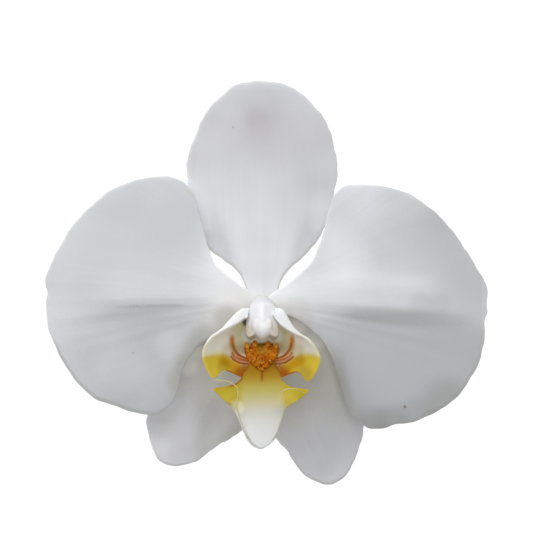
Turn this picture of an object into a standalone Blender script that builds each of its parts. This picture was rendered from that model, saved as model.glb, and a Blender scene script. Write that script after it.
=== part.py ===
# Moth orchid flower, picked and lying face up.
# Sizes are millimetres from the hub, the middle of the flower where sepals and petals meet, and
# the meshes hold them in metres. +X is the right of the face, +Y its top, +Z towards the viewer.
# The flower rests on the tips of the two lateral sepals and on its cut stalk, which bends at the
# ovary and lies along the surface behind the dorsal sepal.

import bmesh
import bpy
import numpy as np

MM = 0.001

# The hub's place in the part's frame, whose origin is under the middle of the whole flower
HUB = np.array((-1.1, -3.6, 12.0))
FLOOR = -HUB[2]                 # height of the surface it lies on

# Thicknesses and the heights at which the blades meet the hub
SEPAL_THICK = 0.9
PETAL_THICK = 0.8
LIP_THICK = 0.8
SEPAL_ROOT = -1.4
PETAL_ROOT = 0.1
HUB_TOP = 0.9                   # flat top of the ovary, which the column and the lip stand on
GAP = 0.35                      # between pieces that touch

# How each blade bends, from its root to its tip
DORSAL_LENGTH = 54
DORSAL_LEAN = 2.3               # back, at half its length
DORSAL_RISE = 2.6               # forward again, towards its tip
DORSAL_CURL = 1.6               # back, in the last sixth
DORSAL_CUP = 0.4                # forward, at the margins
PETAL_LENGTH = 55
PETAL_ARCH = 1.6                # forward, at half its length
PETAL_DROOP = 2.6               # back, at its tip
PETAL_FOLD_ABOVE = (0.1, -0.004, 0.00009)       # back from the midrib, by powers of the distance
PETAL_FOLD_BELOW = (0.21, -0.00525, 0.00014)
LATERAL_TIP_LEFT = (-21, -42.3)
LATERAL_TIP_RIGHT = (17, -46.9)
LATERAL_FALL = 12.2             # back, down to the surface at its tip
MID_LOBE_TOP = (-19, 9.6)       # y and z where it leaves the callus
MID_LOBE_SLOPE = 0.86
SEPAL_WAVE = 0.3
PETAL_WAVE = 0.6

# Outlines of the blades as seen from the front, anticlockwise
DORSAL_SEPAL = (
    (3.3, 1.7), (5.3, 5.5), (9.5, 10), (14.8, 16), (17.3, 22.3), (18.8, 31), (18, 38),
    (15, 45.5), (9.5, 51), (4.5, 53.5), (1, 54), (-3, 53.8), (-7.3, 52.6), (-13, 47.5),
    (-17, 39.8), (-18.6, 34), (-18.7, 29), (-17.5, 21.3), (-13, 12.5), (-8, 8.7),
    (-4.8, 5.5), (-3.1, 1.9), (0, 2.7),
)
PETAL_LEFT = (
    (-2.9, 1), (-5.5, 3), (-10, 6.6), (-12.5, 9.8), (-14, 14.3), (-15.5, 21.3), (-17, 26.7),
    (-20.5, 29), (-26, 30.2), (-33, 28.5), (-39.3, 25.5), (-45.5, 19.8), (-50.5, 13),
    (-53.3, 6.8), (-54.2, 3.3), (-53.7, 1.2), (-54, -1), (-53.5, -7), (-51, -14),
    (-47.5, -19.5), (-42.5, -25), (-37.5, -27), (-32, -28.7), (-27, -29.5), (-23, -27),
    (-20.9, -23), (-19.8, -17.8), (-16, -12.5), (-10.5, -7.5), (-6.8, -4), (-2.9, -1.4),
)
PETAL_RIGHT = (
    (2.9, -1.6), (8.3, -4.6), (12, -7.8), (15, -10.8), (18.3, -17), (20, -23.8), (22, -29),
    (25.8, -32.3), (28.3, -32.8), (30.8, -32.7), (33.8, -31.8), (38.3, -31.2), (44, -28.3),
    (49, -24.8), (53.3, -18.3), (55.5, -11.3), (55.8, -5.8), (56.3, -3.8), (56, -1.5),
    (56.4, 1.5), (55, 5.3), (50.8, 11.8), (46.3, 18.3), (40.5, 23.3), (34.5, 26.8),
    (26.5, 28), (20.3, 27.5), (17.5, 24.5), (15.8, 18), (14, 12.3), (10.8, 7.3), (5.8, 3),
    (2.9, 1),
)
LATERAL_LEFT = (
    (-3.4, -1.4), (-9, -5.5), (-15.5, -10), (-22.5, -17.5), (-27, -25), (-28.8, -31),
    (-28, -36), (-26, -40.3), (-22.5, -42.3), (-19, -42), (-14.3, -40), (-10.5, -37.4),
    (-5, -33.5), (-1.8, -29), (-0.8, -22), (-0.7, -12), (-0.5, -3.2), (-1.6, -2.4),
)
LATERAL_RIGHT = (
    (3.4, -1.4), (1.6, -2.4), (0.5, -3.2), (0.6, -12), (0.7, -22), (1, -30.8), (3.5, -35.3),
    (5.8, -37.8), (7.8, -41), (10, -43.8), (13.8, -46.3), (17.5, -46.9), (20.8, -44.6),
    (23.5, -40), (25.2, -34), (25.6, -27), (23, -19.5), (18, -12), (10, -6),
)
MID_LOBE = (
    (-0.5, -19.2), (-5.2, -20.4), (-7.3, -21.8), (-9.3, -22.3), (-12.2, -22.9), (-11, -24.3),
    (-9.5, -25.8), (-7.6, -27.7), (-6, -30.3), (-5, -33), (-3.8, -35.8), (-2.5, -37.2),
    (-0.7, -38), (1, -37.5), (2.6, -36.2), (3.9, -34.3), (4.8, -31), (5.8, -28.2),
    (7.8, -26.6), (10.2, -24.9), (11.8, -23.4), (9.5, -22.9), (6.8, -22.6), (4.8, -20.6),
)

# Each side lobe: rows from its root in the lip to its free margin, points from the column down
SIDE_LOBE_LEFT = (
    ((-1.2, -4, 2.1), (-2, -6.5, 3.1), (-3.2, -9.5, 4.8), (-4, -12.5, 6.5), (-4, -15.5, 7.8),
     (-3.4, -18.2, 8.8)),
    ((-3.6, -3.6, 3.8), (-5.2, -5.2, 4.9), (-6.7, -8.8, 6), (-7.2, -12.4, 7.3),
     (-6.4, -15.8, 8.5), (-5.4, -18.5, 9.4)),
    ((-4.9, -2.9, 7.6), (-8.3, -5.5, 9.4), (-12, -8.9, 10.2), (-12, -13.2, 9.6),
     (-9.6, -16.9, 10), (-7.5, -18.4, 10.3)),
    ((-4.3, -4.9, 10.2), (-7.6, -7.3, 11.8), (-13.6, -10.4, 12.8), (-15.3, -14.8, 12.2),
     (-12.4, -20.6, 12), (-9.8, -19.3, 11.4)),
)
SIDE_LOBE_RIGHT = (
    ((1.2, -4, 2.1), (2, -6.5, 3.1), (3.2, -9.5, 4.8), (4, -12.5, 6.5), (4, -15.5, 7.8),
     (3.4, -18.2, 8.8)),
    ((3.6, -3.6, 3.8), (5, -5.4, 4.9), (6.3, -8.8, 6), (6.8, -12.4, 7.3), (6.2, -16, 8.5),
     (5.2, -18.7, 9.4)),
    ((4.8, -2.9, 7.6), (7.4, -6, 9.4), (10.4, -9.3, 10.2), (11.2, -13.4, 9.6),
     (9.2, -17.3, 10), (7.2, -18.8, 10.3)),
    ((4, -4.9, 10.2), (6.8, -8.2, 11.8), (12, -10.6, 12.8), (14.7, -15.3, 12.2),
     (12.2, -21, 12), (9.4, -19.8, 11.4)),
)

# The lip's stem and callus: a solid along its middle line, with half widths and half thicknesses
LIP_LINE = (
    (0, -2.7, 2.05), (0, -5.5, 2.7), (0, -9, 4.6), (0, -12.5, 6.6), (0, -16, 8),
    (0, -19, 9.2), (0, -21.5, 10.9),
)
LIP_HALF_WIDTHS = (1.4, 2, 3.6, 4.6, 4.7, 4.8, 5)
LIP_HALF_THICKS = (0.75, 0.8, 1.2, 1.9, 1.9, 1.2, 0.7)
CALLUS_TEETH = ((-3.8, -11.6), (-1.9, -10.9), (1.9, -10.9), (3.8, -11.6))
TOOTH_TOP = 9.2
TOOTH_RADIUS = 1.0

# The two tendrils, from inside the tip of the mid lobe up in front of its margins
TENDRIL_LEFT = (
    (-1.2, -36.6, 22.6), (-3, -35.6, 24), (-4.8, -32.4, 22.8), (-5.9, -29, 20.4),
    (-6.4, -27.4, 19.4), (-5.9, -24.4, 18.6), (-6.4, -22.4, 18.4), (-9, -20.8, 17.6),
    (-13, -20.9, 16.4),
)
TENDRIL_RIGHT = (
    (1.2, -36.4, 22.6), (3, -35.2, 24), (4.5, -32, 22.6), (5.4, -28.4, 20.2),
    (4.8, -25, 18.8), (5.6, -23, 18.4), (8, -22.8, 17.8), (11, -24.2, 17),
)
TENDRIL_RADIUS = 0.42

# The column and its end, which carries the anther cap
COLUMN_LINE = (
    (0, 0.4, HUB_TOP + GAP), (0, 0.4, 2.8), (0, -0.5, 5.2), (0, -2.7, 8), (0, -5.2, 9.9),
    (0, -7.1, 10.9),
)
COLUMN_HALF_WIDTHS = (2.5, 2.6, 2.7, 2.9, 3, 2.9)
COLUMN_HALF_DEPTHS = (2.3, 2.3, 2.4, 2.4, 2.3, 2.1)
WING_REACH = 1.1                # how far the two wings stand out beside the end
CAP_HALF_WIDTH = 2.6
CAP_HALF_DEPTH = 2.2
CAP_REACH = 2.7                 # length of the cap beyond the column's end
CAP_WALL = 0.7
POLLEN_RADIUS = 0.62
POLLEN_OFFSET = 0.7             # of each pollen mass from the middle

# The ovary and the stalk
OVARY_RADIUS = 2.1
STALK_RADIUS = 1.6
STALK_BEND = 7.0                # radius of the bend behind the hub
STALK_END = (2.6, 36.0)         # where it was cut


def smooth_loop(points, steps):
    """Closed Catmull-Rom curve through the points, with steps places on each span."""
    p = np.array(points, float)
    before, after, beyond = np.roll(p, 1, 0), np.roll(p, -1, 0), np.roll(p, -2, 0)
    found = []
    for step in range(steps):
        t = step / steps
        found.append(
            0.5 * (2 * p + (after - before) * t
                   + (2 * before - 5 * p + 4 * after - beyond) * t**2
                   + (3 * p - before - 3 * after + beyond) * t**3)
        )
    return np.stack(found, 1).reshape(-1, p.shape[1])


def smooth_line(points, steps):
    """Open Catmull-Rom curve through the points, with steps places on each span."""
    p = np.array(points, float)
    p = np.concatenate((2 * p[:1] - p[1:2], p, 2 * p[-1:] - p[-2:-1]))
    a, b, c, d = p[:-3], p[1:-2], p[2:-1], p[3:]
    found = []
    for step in range(steps):
        t = step / steps
        found.append(
            0.5 * (2 * b + (c - a) * t + (2 * a - 5 * b + 4 * c - d) * t**2
                   + (3 * b - a - 3 * c + d) * t**3)
        )
    curve = np.stack(found, 1).reshape(-1, *p.shape[1:])
    return np.concatenate((curve, p[-2:-1]))


def ridge(offset, rounding):
    """How far above and how far below a fold a point lies, with the fold itself rounded."""
    reach = np.sqrt(offset**2 + rounding**2) - rounding
    return (reach + offset) / 2, (reach - offset) / 2


def cubic(t, first, second, third):
    """First, second and third powers of t with these factors, added up."""
    return first * t + second * t**2 + third * t**3


def dorsal_depth(x, y):
    """Leans back to half its length and comes forward again, with a curled tip and margins."""
    along = np.clip(y / DORSAL_LENGTH, 0, 1)
    lean = DORSAL_RISE * along**2 - DORSAL_LEAN * np.sin(np.pi * along**0.8)
    curl = DORSAL_CURL * (np.clip(along - 5 / 6, 0, 1) * 6) ** 2
    return SEPAL_ROOT + lean - curl + DORSAL_CUP * (x / 19) ** 2


def petal_depth(rib_start, rib_slope):
    """Depth of a petal: arched outwards, folded back on both sides of its midrib."""
    def depth(x, y):
        out = np.abs(x)
        along = np.clip(out / PETAL_LENGTH, 0, 1)
        above, below = ridge(y - rib_start + rib_slope * out, 1.2)
        arch = PETAL_ARCH * np.sin(np.pi * along) - PETAL_DROOP * along**3
        fold = cubic(above, *PETAL_FOLD_ABOVE) + cubic(below, *PETAL_FOLD_BELOW)
        return PETAL_ROOT + arch - fold * np.clip(out / 8, 0, 1)
    return depth


def lateral_depth(tip):
    """Depth of a lateral sepal: it curves back until its tip lies on the surface."""
    length = np.hypot(*tip)

    def depth(x, y):
        along = np.clip((x * tip[0] + y * tip[1]) / length**2, 0, 1)
        across = (x * tip[1] - y * tip[0]) / length
        return SEPAL_ROOT - LATERAL_FALL * along**1.6 + 0.002 * across**2
    return depth


def mid_lobe_depth(x, y):
    """Depth of the mid lobe: it runs forward to its tip, its shoulders turned up."""
    along = MID_LOBE_TOP[0] - y
    return MID_LOBE_TOP[1] + MID_LOBE_SLOPE * along - 0.006 * along**2 + 0.02 * x**2


def material(name, colour, roughness):
    """Principled surface of one plain colour."""
    made = bpy.data.materials.new(name)
    made.use_nodes = True
    shader = made.node_tree.nodes["Principled BSDF"]
    shader.inputs["Base Color"].default_value = (*colour, 1)
    shader.inputs["Roughness"].default_value = roughness
    shader.inputs["Metallic"].default_value = 0
    return made


def add_object(name, bm, look):
    """Object of a finished mesh in millimetres about the hub, moved to the part's frame."""
    bmesh.ops.recalc_face_normals(bm, faces=bm.faces)
    for vert in bm.verts:
        vert.co = [(a + b) * MM for a, b in zip(vert.co, HUB)]
    mesh = bpy.data.meshes.new(name)
    bm.to_mesh(mesh)
    bm.free()
    mesh.materials.append(look)
    mesh.shade_smooth()
    made = bpy.data.objects.new(name, mesh)
    bpy.context.scene.collection.objects.link(made)
    return made


def rows_of_verts(bm, grid):
    """Vertices of a grid of points, row by row."""
    return [[bm.verts.new(point) for point in row] for row in grid]


def stitch(bm, first, second, closed):
    """Triangles between two rows of vertices, alike on every row."""
    count = len(first)
    for i in range(count if closed else count - 1):
        j = (i + 1) % count
        bm.faces.new((first[i], first[j], second[j]))
        bm.faces.new((first[i], second[j], second[i]))


def thicken(made, thickness):
    """Gives a blade its thickness, half to each side of its middle surface."""
    wall = made.modifiers.new("thickness", "SOLIDIFY")
    wall.thickness = thickness * MM
    wall.offset = 0
    return made


def blade(name, outline, centre, depth, thickness, look, waves=(0, 1, 0), rings=7):
    """Blade whose outline shrinks to its centre in rings, each bent by the depth formula.
    The waves are their height at the margin, their number and their turn in radians."""
    rim = smooth_loop(outline, 2)
    centre = np.array(centre, float)
    spokes = rim - centre
    angle = np.arctan2(spokes[:, 1], spokes[:, 0])
    height, number, turn = waves
    ripple = height * np.sin(number * angle + turn)
    bm = bmesh.new()
    grid = []
    for ring in range(1, rings + 1):
        share = (ring / rings) ** 0.85
        flat = centre + spokes * share
        bent = depth(flat[:, 0], flat[:, 1]) + ripple * share**4
        bent = np.maximum(bent, FLOOR + thickness / 2)
        grid.append(np.column_stack((flat, bent)))
    rows = rows_of_verts(bm, grid)
    middle = bm.verts.new((*centre, float(depth(*centre))))
    for i, vert in enumerate(rows[0]):
        bm.faces.new((middle, vert, rows[0][(i + 1) % len(rim)]))
    for inner, outer in zip(rows, rows[1:]):
        stitch(bm, outer, inner, closed=True)
    return thicken(add_object(name, bm, look), thickness)


def net_blade(name, net, look, steps=2):
    """Blade through a net of points, smooth along its rows and across them."""
    along = np.stack([smooth_line(row, steps) for row in net])
    grid = smooth_line(along, steps)
    bm = bmesh.new()
    rows = rows_of_verts(bm, grid)
    for first, second in zip(rows, rows[1:]):
        stitch(bm, first, second, closed=False)
    return thicken(add_object(name, bm, look), LIP_THICK)


def sections(line, half_widths, half_depths, sides):
    """Rings of points round a line: half_widths along X where the line runs up and down."""
    line = np.array(line, float)
    ahead = np.gradient(line, axis=0)
    ahead /= np.linalg.norm(ahead, axis=1)[:, None]
    wide = np.array((1.0, 0, 0)) - ahead * ahead[:, :1]
    wide /= np.linalg.norm(wide, axis=1)[:, None]
    deep = np.cross(ahead, wide)
    turn = (np.arange(sides) + 0.5) * 2 * np.pi / sides
    return (line[:, None]
            + wide[:, None] * (half_widths[:, None] * np.cos(turn))[..., None]
            + deep[:, None] * (half_depths[:, None] * np.sin(turn))[..., None])


def solid_of_rings(name, rings, look):
    """Closed solid through rings of points, with a flat end at each side."""
    bm = bmesh.new()
    rows = rows_of_verts(bm, rings)
    for first, second in zip(rows, rows[1:]):
        stitch(bm, first, second, closed=True)
    bm.faces.new(rows[0])
    bm.faces.new(rows[-1])
    bmesh.ops.triangulate(bm, faces=[f for f in bm.faces if len(f.verts) > 4])
    return add_object(name, bm, look)


def tendril(name, points, look):
    """Thin round thread through the points, narrowing to its free end."""
    line = smooth_line(points, 3)
    ahead = np.gradient(line, axis=0)
    ahead /= np.linalg.norm(ahead, axis=1)[:, None]
    wide = np.cross(ahead, (0.0, 0, 1))
    wide /= np.linalg.norm(wide, axis=1)[:, None]
    deep = np.cross(ahead, wide)
    radii = np.linspace(TENDRIL_RADIUS, 0.75 * TENDRIL_RADIUS, len(line))[:, None, None]
    turn = (np.arange(6) * np.pi / 3)[:, None]
    rings = line[:, None] + radii * (wide[:, None] * np.cos(turn) + deep[:, None] * np.sin(turn))
    return solid_of_rings(name, rings, look)


def callus_tooth(name, x, y, look):
    """One pointed tooth of the callus, its root deep in the lip."""
    bm = bmesh.new()
    bmesh.ops.create_cone(bm, cap_ends=True, segments=8, radius1=TOOTH_RADIUS,
                          radius2=0.25 * TOOTH_RADIUS, depth=3)
    bmesh.ops.translate(bm, verts=bm.verts, vec=(x, y, TOOTH_TOP - 1.5))
    return add_object(name, bm, look)


def fuse(name, pieces):
    """Joins the pieces into one closed body with a Boolean union, and removes them."""
    base, others = pieces[0], pieces[1:]
    group = bpy.data.collections.new(name + "_pieces")
    for piece in others:
        group.objects.link(piece)
    union = base.modifiers.new("union", "BOOLEAN")
    union.operation = "UNION"
    union.operand_type = "COLLECTION"
    union.collection = group
    union.solver = "EXACT"
    depsgraph = bpy.context.evaluated_depsgraph_get()
    mesh = bpy.data.meshes.new_from_object(base.evaluated_get(depsgraph))
    base.modifiers.clear()
    base.data = mesh
    base.name = name
    mesh.name = name
    for piece in others:
        bpy.data.objects.remove(piece)
    bpy.data.collections.remove(group)
    return base


def add_tepals(sepal_look, petal_look):
    """The three sepals behind and the two petals in front of them."""
    blade("dorsal_sepal", DORSAL_SEPAL, (0, 30), dorsal_depth, SEPAL_THICK, sepal_look,
          (SEPAL_WAVE, 3, 0.6))
    blade("lateral_sepal_left", LATERAL_LEFT, (-14, -25), lateral_depth(LATERAL_TIP_LEFT),
          SEPAL_THICK, sepal_look, (SEPAL_WAVE, 4, 0.3))
    blade("lateral_sepal_right", LATERAL_RIGHT, (12.5, -27), lateral_depth(LATERAL_TIP_RIGHT),
          SEPAL_THICK, sepal_look, (SEPAL_WAVE, 4, 1.2))
    blade("petal_left", PETAL_LEFT, (-30, 1), petal_depth(-0.2, 0.03), PETAL_THICK,
          petal_look, (PETAL_WAVE, 5, 0.4))
    blade("petal_right", PETAL_RIGHT, (31, -2), petal_depth(-0.6, 0.06), PETAL_THICK,
          petal_look, (PETAL_WAVE, 5, 2.1))


def add_lip(look):
    """The lip: stem and callus, side lobes, mid lobe and tendrils, grown as one."""
    line = smooth_line(LIP_LINE, 2)
    widths = smooth_line(np.array(LIP_HALF_WIDTHS)[:, None], 2)[:, 0]
    thicks = smooth_line(np.array(LIP_HALF_THICKS)[:, None], 2)[:, 0]
    pieces = [solid_of_rings("lip_stem", sections(line, widths, thicks, 14), look)]
    pieces += [callus_tooth(f"tooth_{i}", x, y, look) for i, (x, y) in enumerate(CALLUS_TEETH)]
    pieces.append(net_blade("side_lobe_left", SIDE_LOBE_LEFT, look))
    pieces.append(net_blade("side_lobe_right", SIDE_LOBE_RIGHT, look))
    pieces.append(blade("mid_lobe", MID_LOBE, (0, -26.5), mid_lobe_depth, LIP_THICK, look, rings=5))
    pieces.append(tendril("tendril_left", TENDRIL_LEFT, look))
    pieces.append(tendril("tendril_right", TENDRIL_RIGHT, look))
    fuse("lip", pieces)


def column_end():
    """Middle of the column's end, the way it faces, and the direction of its back."""
    last, before = np.array(COLUMN_LINE[-1]), np.array(COLUMN_LINE[-2])
    ahead = (last - before) / np.linalg.norm(last - before)
    return last, ahead, np.cross(ahead, (1.0, 0, 0))


def add_column(look):
    """The column, arched over the lip, with a wing at each side of its end."""
    line = smooth_line(COLUMN_LINE, 2)
    widths = smooth_line(np.array(COLUMN_HALF_WIDTHS)[:, None], 2)[:, 0]
    depths = smooth_line(np.array(COLUMN_HALF_DEPTHS)[:, None], 2)[:, 0]
    rings = sections(line, widths, depths, 16)
    side = (rings[..., 0] - line[:, None, 0]) / widths[:, None]
    towards_end = np.clip(np.linspace(-2, 1, len(line)), 0, 1)[:, None]
    rings[..., 0] += WING_REACH * towards_end * side * np.abs(side) ** 5
    rings[0, :, 2] = HUB_TOP + GAP
    solid_of_rings("column", rings, look)


def add_anther_cap(look):
    """Hollow cap over the column's end: an outer dome and an inner one, joined at the rim."""
    end, ahead, back = column_end()
    turn = np.arange(16) * 2 * np.pi / 16

    def ring(rise, wall):
        """Ring of the dome at this angle above its rim, this far inside the outer skin."""
        wide = (CAP_HALF_WIDTH - wall) * np.cos(rise) * np.cos(turn)
        deep = (CAP_HALF_DEPTH - wall) * np.cos(rise) * np.sin(turn)
        centre = end + ahead * (GAP + (CAP_REACH - wall) * np.sin(rise))
        return centre + np.outer(wide, (1.0, 0, 0)) + np.outer(deep, back)

    rises = np.radians((0, 22, 45, 66))
    outer = [ring(rise, 0) for rise in rises]
    inner = [ring(rise, CAP_WALL) for rise in rises]
    bm = bmesh.new()
    rows = rows_of_verts(bm, outer[::-1] + inner)
    for first, second in zip(rows, rows[1:]):
        stitch(bm, first, second, closed=True)
    for row, reach in ((rows[0], CAP_REACH), (rows[-1], CAP_REACH - CAP_WALL)):
        top = bm.verts.new(end + ahead * (GAP + reach))
        for i, vert in enumerate(row):
            bm.faces.new((top, vert, row[(i + 1) % len(row)]))
    add_object("anther_cap", bm, look)


def add_pollinarium(look):
    """Two pollen masses on their strap, under the cap and against the column's end."""
    end, ahead, _ = column_end()
    pieces = []
    for name, x in (("strap", 0), ("mass_left", -POLLEN_OFFSET), ("mass_right", POLLEN_OFFSET)):
        bm = bmesh.new()
        bmesh.ops.create_icosphere(bm, subdivisions=2, radius=POLLEN_RADIUS)
        place = end + ahead * (GAP + POLLEN_RADIUS) + np.array((x, 0, 0))
        bmesh.ops.translate(bm, verts=bm.verts, vec=place)
        pieces.append(add_object(name, bm, look))
    fuse("pollinarium", pieces)


def add_pedicel(look):
    """Ovary and stalk: down from the hub, round the bend and along the surface to the cut."""
    rest = FLOOR + 0.96 * STALK_RADIUS
    start = rest + STALK_BEND
    swing = np.radians(np.linspace(15, 90, 6))
    line = [(0, 0, HUB_TOP), (0, 0, -0.8), (0, 0, -2.6), (0, 0, start)]
    line += [(0, STALK_BEND * (1 - np.cos(a)), start - STALK_BEND * np.sin(a)) for a in swing]
    run = np.linspace(0, 1, 9)[1:]
    line += [(STALK_END[0] * s**2, STALK_BEND + (STALK_END[1] - STALK_BEND) * s, rest)
             for s in run]
    line = np.array(line, float)
    radii = np.full(len(line), STALK_RADIUS)
    radii[:6] = (OVARY_RADIUS, OVARY_RADIUS, OVARY_RADIUS, 2.0, 1.9, 1.75)
    radii[-1] = 1.1 * STALK_RADIUS
    rings = sections(line, radii, radii, 12)
    rings[0, :, 2] = HUB_TOP
    rings[..., 2] = np.maximum(rings[..., 2], FLOOR)
    solid_of_rings("pedicel", rings, look)


def main():
    for old in list(bpy.data.objects):
        bpy.data.objects.remove(old)
    white = (0.86, 0.87, 0.9)
    add_tepals(material("sepal", white, 0.5), material("petal", (0.88, 0.89, 0.92), 0.5))
    add_lip(material("lip", (0.78, 0.6, 0.1), 0.45))
    add_column(material("column", (0.9, 0.9, 0.88), 0.4))
    add_anther_cap(material("anther_cap", (0.88, 0.87, 0.82), 0.4))
    add_pollinarium(material("pollen", (0.8, 0.6, 0.12), 0.5))
    add_pedicel(material("stalk", (0.42, 0.55, 0.25), 0.5))


main()
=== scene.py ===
# Looks of a moth orchid flower that lies face up: tepals, lip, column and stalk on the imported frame
import bpy
import numpy as np
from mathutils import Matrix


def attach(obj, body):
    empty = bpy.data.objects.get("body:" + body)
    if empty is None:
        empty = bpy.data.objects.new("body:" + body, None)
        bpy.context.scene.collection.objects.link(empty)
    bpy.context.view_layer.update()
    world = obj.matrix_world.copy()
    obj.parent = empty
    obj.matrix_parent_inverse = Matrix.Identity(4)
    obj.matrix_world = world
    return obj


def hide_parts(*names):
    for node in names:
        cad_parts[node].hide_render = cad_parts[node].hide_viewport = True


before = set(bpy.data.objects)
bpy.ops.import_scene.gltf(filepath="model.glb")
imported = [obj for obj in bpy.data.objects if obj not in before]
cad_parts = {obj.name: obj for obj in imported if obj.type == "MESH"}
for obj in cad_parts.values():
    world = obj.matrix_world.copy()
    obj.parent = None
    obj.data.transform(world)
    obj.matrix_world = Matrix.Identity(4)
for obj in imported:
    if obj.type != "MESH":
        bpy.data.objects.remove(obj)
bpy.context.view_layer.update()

# Places are millimetres from the hub, where the tepals meet: +X right, +Y up the face, +Z to the viewer
flower = {
    "hub": (-1.1, -3.6, 12.0),       # the hub in the frame
    "floor": -12.0,                  # height of the surface
    "middle": (1.125, 7.625),        # what the camera looks straight down on
    "cameraHeight": 2400.0,          # above the hub
    "frameWidth": 133.25,            # width of the picture at the hub
}


def through(points, at, closed=False):
    # Catmull-Rom curve: 0.5 (2b + (c-a)t + (2a-5b+4c-d)t^2 + (3b-a-3c+d)t^3), at places counted in points
    p = np.array(points, float)
    if closed:
        p = np.concatenate((p[-1:], p, p[:2]))
    else:
        p = np.concatenate((2 * p[:1] - p[1:2], p, 2 * p[-1:] - p[-2:-1]))
    at = np.asarray(at, float)
    first = np.clip(np.floor(at).astype(int), 0, len(p) - 4)
    t = (at - first).reshape(-1, *([1] * (p.ndim - 1)))
    a, b, c, d = p[first], p[first + 1], p[first + 2], p[first + 3]
    return 0.5 * (2 * b + (c - a) * t + (2 * a - 5 * b + 4 * c - d) * t**2 + (3 * b - a - 3 * c + d) * t**3)


def unit(vectors):
    # Each vector over its length
    return vectors / np.linalg.norm(vectors, axis=-1, keepdims=True)


def lengthsAlong(curve):
    # Sum of the steps from the first point to each point
    return np.concatenate(([0], np.cumsum(np.linalg.norm(np.diff(curve, axis=0), axis=1))))


def turns(count):
    # Even angles round a whole turn
    return np.arange(count) * 2 * np.pi / count


def evenLoop(points, count):
    # The closed curve through the points, sampled again at even lengths along it
    curve = through(points, np.linspace(0, len(points), 24 * len(points) + 1), closed=True)
    length = lengthsAlong(curve)
    at = np.linspace(0, length[-1], count, endpoint=False)
    return np.column_stack([np.interp(at, length, curve[:, k]) for k in range(curve.shape[1])])


def smooth(t):
    # 3t^2 - 2t^3 between 0 and 1
    t = np.clip(t, 0, 1)
    return t * t * (3 - 2 * t)


def grow(value, start, span):
    # Smooth from 0 at the start to 1 a span further on
    return smooth((value - start) / span)


def fade(value, end, span):
    # Smooth from 1 a span before the end to 0 at the end
    return smooth((end - value) / span)


def bell(t):
    # exp(-t^2)
    return np.exp(-(t**2))


def spot(x, y, at, size):
    # exp(-(dx / width)^2 - (dy / height)^2)
    return np.exp(-((x - at[0]) / size[0]) ** 2 - ((y - at[1]) / size[1]) ** 2)


def distanceTo(x, y, line):
    # Least distance in the plane from each point to the segments of a line
    best = np.full(np.shape(x), 1e9)
    for (ax, ay), (bx, by) in zip(line[:-1], line[1:]):
        dx, dy = bx - ax, by - ay
        t = np.clip(((x - ax) * dx + (y - ay) * dy) / (dx * dx + dy * dy), 0, 1)
        best = np.minimum(best, np.hypot(x - ax - t * dx, y - ay - t * dy))
    return best


def place(points):
    # From millimetres at the hub to metres in the frame. Each point draws in to the middle by z over the
    # camera's height, so that the outline seen from above is the one that the numbers give.
    points = np.array(points, float)
    middle = np.array(flower["middle"])
    points[:, :2] = middle + (points[:, :2] - middle) * (1 - points[:, 2:] / flower["cameraHeight"])
    return (points + np.array(flower["hub"])) * 0.001


def addObject(name, data):
    # An object of the data, in the scene
    made = bpy.data.objects.new(name, data)
    bpy.context.scene.collection.objects.link(made)
    return made


def addPiece(name, points, quads, tris, material, slotName, node, fields):
    # Mesh from arrays with its fields, its faces turned outward by the sign of its volume
    corners = np.vstack((quads[:, [0, 1, 2]], quads[:, [0, 2, 3]], tris.reshape(-1, 3)))
    a, b, c = (points[corners[:, k]] for k in range(3))
    if np.einsum("ij,ij->i", a, np.cross(b, c)).sum() < 0:
        quads, tris = quads[:, ::-1], tris[:, ::-1]
    mesh = bpy.data.meshes.new(name)
    mesh.from_pydata(place(points).tolist(), [], quads.tolist() + tris.tolist())
    for label, values in fields.items():
        vector = np.ndim(values) == 2
        store = mesh.attributes.new(label, "FLOAT_VECTOR" if vector else "FLOAT", "POINT")
        store.data.foreach_set("vector" if vector else "value", np.asarray(values, np.float32).ravel())
    mesh.materials.append(material)
    mesh.shade_smooth()
    piece = addObject(name, mesh)
    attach(piece, "root")
    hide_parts(node)


def ringBands(number, closed=True):
    # Quads between neighbouring rows of point numbers
    if closed:
        number = np.hstack((number, number[:, :1]))
    return np.stack((number[:-1, :-1], number[1:, :-1], number[1:, 1:], number[:-1, 1:]), -1).reshape(-1, 4)


def polarGrid(rim, centre, rings):
    # centre + share (rim - centre) in the face, where share is the sine of even steps from 0 to 90 degrees
    share = np.sin(np.linspace(0, 1, rings + 1) * np.pi / 2)[:, None]
    return share, np.array(centre) + share[..., None] * (rim - np.array(centre))


def halfThickness(thick, share, power):
    # Half of edge + (middle - edge) (1 - share^2), rounded off at the margin by sqrt(1 - share^power)
    middle, edge = thick
    return (edge + (middle - edge) * (1 - share**2)) / 2 * np.sqrt(np.clip(1 - share**power, 0, 1))


def polarSkins(flat, top, under):
    # The flat rings once at the heights of top and once at those of under, which meet at the last ring;
    # a middle point closes each skin. Returns points, quads, tris and 1 on the upper skin.
    rings, count = len(flat) - 1, flat.shape[1]
    upper, lower = np.dstack((flat, top)), np.dstack((flat, under))
    points = np.vstack((upper[1:].reshape(-1, 3), lower[1:-1].reshape(-1, 3), upper[0, :1], lower[0, :1]))
    number = np.arange(rings * count).reshape(rings, count)
    below = np.vstack((rings * count + np.arange((rings - 1) * count).reshape(-1, count), number[-1:]))
    over, beneath = (np.column_stack((np.full(count, len(points) - pole), ring[0], np.roll(ring[0], -1)))
                     for pole, ring in ((2, number), (1, below)))
    quads = np.vstack((ringBands(number), ringBands(below)[:, ::-1]))
    front = np.zeros(len(points))
    front[:rings * count] = 1
    front[-2] = 1
    return points, quads, np.vstack((over, beneath[:, ::-1])), front


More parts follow.
